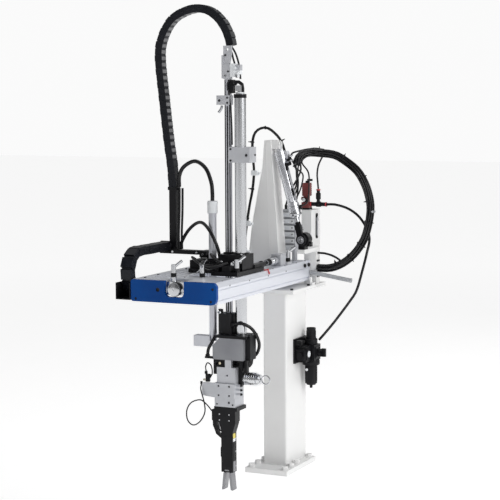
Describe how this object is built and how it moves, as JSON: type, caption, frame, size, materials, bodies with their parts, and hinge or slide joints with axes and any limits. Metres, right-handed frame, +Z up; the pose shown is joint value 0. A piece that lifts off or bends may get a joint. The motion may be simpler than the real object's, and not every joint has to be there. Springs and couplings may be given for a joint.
{
  "type": "pneumatic sprue picker",
  "caption": "Pneumatic sprue picker: bolted pedestal, swinging beam, sliding carriage, vertical lift arm with turning wrist and a two-finger gripper.",
  "frame": {"origin": "middle of the base plate's underside", "axes": "+Z up, +Y along the beam towards the pedestal's back, the gripper hangs at the -Y end; +X to the filter-regulator's side"},
  "size_m": [0.5421, 0.761, 1.4531],
  "materials": {
    "white_paint": "smooth powder coat",
    "black_paint": "satin black",
    "black_plastic": "moulded, fine grain",
    "red_coil": "moulded",
    "rubber_hose": "semi-gloss tube",
    "aluminium_profile": "drawn and anodised",
    "grey_machined": "milled and bead blasted",
    "blue_cap": "gloss moulded",
    "chrome": "polished",
    "bright_steel": "drawn and ground"
  },
  "bodies": {
    "pedestal": {"base_plate": "white_paint", "column": "white_paint", "head_plate": "white_paint", "head_block": "white_paint", "eye_bracket": "black_paint", "hose_bar": "grey_machined", "frl_body": "black_plastic", "dump_valve": "red_coil", "air_tee": "black_plastic", "hose_supply": "rubber_hose", "hose_riser": "rubber_hose", "hose_bundle": "rubber_hose"},
    "regulator_knob": {"frl_knob": "black_plastic"},
    "dump_handle": {"dump_lever": "black_plastic"},
    "beam": {"beam_side_right": "aluminium_profile", "beam_side_left": "aluminium_profile", "deck_front": "aluminium_profile", "deck_rear": "aluminium_profile", "back_plate": "aluminium_profile", "end_cap": "blue_cap", "chain_tray": "black_plastic", "front_stop": "chrome", "rear_stop": "grey_machined", "fin": "white_paint", "valve_manifold": "grey_machined", "fin_harness": "rubber_hose", "chain_horizontal": "black_plastic"},
    "front_clamp": {"front_lever": "chrome"},
    "deck_clamp": {"deck_lever": "chrome"},
    "rear_clamp": {"rear_lever": "chrome"},
    "shock_plunger": {"shock_rod": "black_plastic"},
    "cylinder_barrel": {"swing_barrel": "bright_steel"},
    "cylinder_rod": {"swing_rod": "chrome"},
    "carriage": {"carriage_block": "black_paint", "chain_arm": "black_paint", "lift_tube": "aluminium_profile", "hose_lift": "rubber_hose", "hose_carriage": "rubber_hose", "chain_vertical": "black_plastic"},
    "carriage_clamp": {"carriage_lever": "chrome"},
    "arm": {"arm_rail": "aluminium_profile", "arm_tube": "bright_steel", "arm_head": "grey_machined", "tube_clamp": "grey_machined", "rail_clamp": "grey_machined", "foot_plate": "black_paint", "wrist_cover": "grey_machined", "wrist_frame": "black_paint", "wrist_block": "grey_machined", "plunger_body": "chrome", "wrist_mid": "grey_machined", "hose_arch": "rubber_hose", "hose_wrist": "rubber_hose", "sensor_cable": "rubber_hose"},
    "arm_clamp": {"rail_clamp_lever": "chrome"},
    "ring": {"pull_ring": "chrome"},
    "wrist": {"turn_block": "grey_machined", "gripper_body": "black_paint"},
    "left_finger": {"jaw_left": "bright_steel"},
    "right_finger": {"jaw_right": "bright_steel"}
  },
  "joints": [
    {"name": "swing", "type": "hinge", "parent": "pedestal", "child": "beam", "pos_m": [-0.062, 0, 0.604], "axis": [0, -1, 0], "range_deg": [0, 40], "deforming": ["hose_bundle"]},
    {"name": "barrel_pivot", "type": "hinge", "parent": "beam", "child": "cylinder_barrel", "pos_m": [-0.01487, 0.02, 1.01982], "axis": [0, -1, 0], "range_deg": [-1, 4]},
    {"name": "cylinder_stroke", "type": "slide", "parent": "cylinder_barrel", "child": "cylinder_rod", "axis": [0.2698, 0, -0.9629], "range_m": [0, 0.123]},
    {"name": "carriage_travel", "type": "slide", "parent": "beam", "child": "carriage", "axis": [0, 1, 0], "range_m": [-0.085, 0], "deforming": ["chain_horizontal"]},
    {"name": "arm_stroke", "type": "slide", "parent": "carriage", "child": "arm", "axis": [0, 0, 1], "range_m": [-0.26, 0.05], "deforming": ["chain_vertical"]},
    {"name": "wrist_turn", "type": "hinge", "parent": "arm", "child": "wrist", "pos_m": [-0.028, -0.315, 0.282], "axis": [0, 0, 1], "range_deg": [-90, 0], "deforming": ["sensor_cable"]},
    {"name": "left_finger_pivot", "type": "hinge", "parent": "wrist", "child": "left_finger", "pos_m": [-0.0283, -0.3315, 0.076], "axis": [0, 1, 0], "range_deg": [-8.3, 0]},
    {"name": "right_finger_pivot", "type": "hinge", "parent": "wrist", "child": "right_finger", "pos_m": [-0.0157, -0.3315, 0.076], "axis": [0, 1, 0], "range_deg": [0, 8.3]},
    {"name": "regulator_turn", "type": "hinge", "parent": "pedestal", "child": "regulator_knob", "pos_m": [0.0695, 0.085, 0.412], "axis": [0, 0, 1], "range_deg": [-150, 150]},
    {"name": "dump_turn", "type": "hinge", "parent": "pedestal", "child": "dump_handle", "pos_m": [0.024, 0.164, 0.9], "axis": [0, 0, 1], "range_deg": [0, 90]},
    {"name": "front_clamp_turn", "type": "hinge", "parent": "beam", "child": "front_clamp", "pos_m": [-0.108, -0.512, 0.66], "axis": [0, 0, 1], "range_deg": [-60, 60]},
    {"name": "deck_clamp_turn", "type": "hinge", "parent": "beam", "child": "deck_clamp", "pos_m": [-0.06, -0.424, 0.652], "axis": [0, 0, 1], "range_deg": [-60, 20]},
    {"name": "rear_clamp_turn", "type": "hinge", "parent": "beam", "child": "rear_clamp", "pos_m": [0.024, 0.004, 0.66], "axis": [0, 0, 1], "range_deg": [-60, 10]},
    {"name": "carriage_clamp_turn", "type": "hinge", "parent": "carriage", "child": "carriage_clamp", "pos_m": [0.029, -0.376, 0.666], "axis": [0, 0, 1], "range_deg": [-45, 45]},
    {"name": "arm_clamp_turn", "type": "hinge", "parent": "arm", "child": "arm_clamp", "pos_m": [-0.053, -0.301, 1.152], "axis": [0, 0, 1], "range_deg": [-40, 40]},
    {"name": "shock_stroke", "type": "slide", "parent": "beam", "child": "shock_plunger", "axis": [0, 1, 0], "range_m": [0, 0.025], "stiffness_N_per_m": 400},
    {"name": "ring_pull", "type": "slide", "parent": "arm", "child": "ring", "axis": [1, 0, 0], "range_m": [0, 0.008], "stiffness_N_per_m": 600}
  ],
  "couplings": [
    {"joint": "barrel_pivot", "follows": "swing", "ratio": 0.062},
    {"joint": "cylinder_stroke", "follows": "swing", "m_per_rad": 0.1743},
    {"joint": "right_finger_pivot", "follows": "left_finger_pivot", "ratio": -1}
  ]
}
